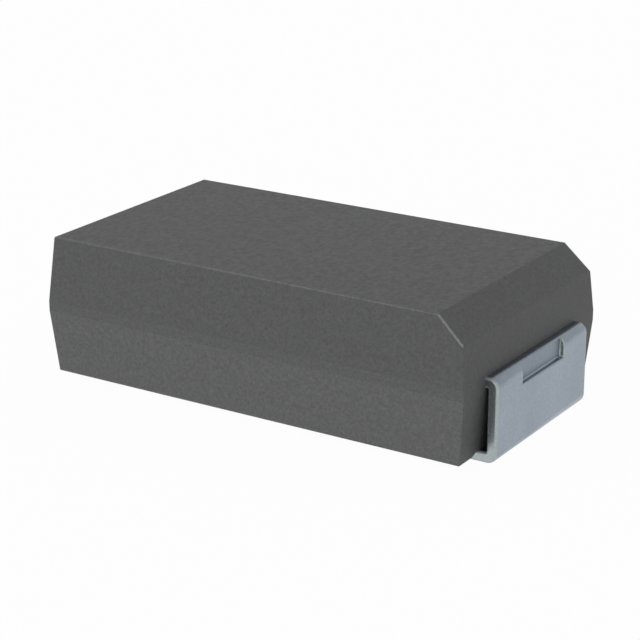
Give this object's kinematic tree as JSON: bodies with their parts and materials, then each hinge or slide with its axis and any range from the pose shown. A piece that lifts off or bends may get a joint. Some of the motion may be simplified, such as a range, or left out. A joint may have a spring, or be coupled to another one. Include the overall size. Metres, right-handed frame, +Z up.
{
  "type": "tantalum capacitor",
  "caption": "Low-profile moulded surface-mount tantalum capacitor with folded end terminals and a bevelled top edge at its anode end.",
  "frame": {"origin": "centre of the footprint on the soldering plane, level with the undersides of both feet", "axes": "+X along the length towards the anode end with the bevelled top edge, +Y across the case, +Z up from the board"},
  "size_m": [0.006, 0.0032, 0.0018],
  "materials": {
    "moulded_epoxy": "matte, fine grain",
    "tin_plate": "matte tin plate",
    "sintered_tantalum": "porous, matte",
    "drawn_tantalum": "satin",
    "white_fluoropolymer": "waxy",
    "manganese_dioxide": "matte",
    "graphite": "soft sheen",
    "silver_paint": "matte metallic",
    "silver_adhesive": "matte metallic"
  },
  "bodies": {
    "root": {"case": "moulded_epoxy", "anode_terminal": "tin_plate", "cathode_terminal": "tin_plate", "tantalum_pellet": "sintered_tantalum", "anode_wire": "drawn_tantalum", "wire_washer": "white_fluoropolymer", "manganese_coat": "manganese_dioxide", "graphite_coat": "graphite", "silver_coat": "silver_paint", "silver_bond": "silver_adhesive"}
  },
  "joints": []
}
